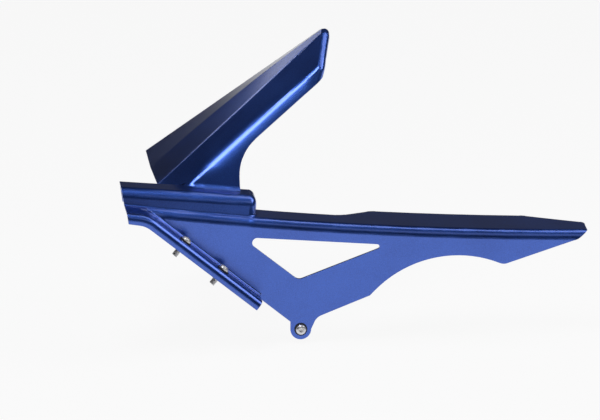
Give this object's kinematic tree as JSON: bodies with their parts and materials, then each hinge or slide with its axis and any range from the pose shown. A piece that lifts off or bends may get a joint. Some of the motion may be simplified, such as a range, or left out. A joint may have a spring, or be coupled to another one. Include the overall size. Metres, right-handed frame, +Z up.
{
  "type": "motorcycle rear hugger mudguard",
  "caption": "Moulded rear hugger for a motorcycle: a creased mudguard over the tyre, a hose duct and a long chain guard with a triangular window, held by button head screws.",
  "frame": {"origin": "on the leg bolt's axis, at the inner face of the chain guard plate, where the leg seats on the swingarm", "axes": "+X back along the bike, +Y in towards the wheel, +Z up"},
  "size_m": [0.47, 0.2609, 0.2907],
  "materials": {
    "paint": "gloss metallic blue paint on moulded plastic",
    "steel": "bright stainless steel",
    "washer": "black rubber"
  },
  "bodies": {
    "root": {"hugger_shell": "paint", "screws": "steel", "washers": "washer"}
  },
  "joints": []
}
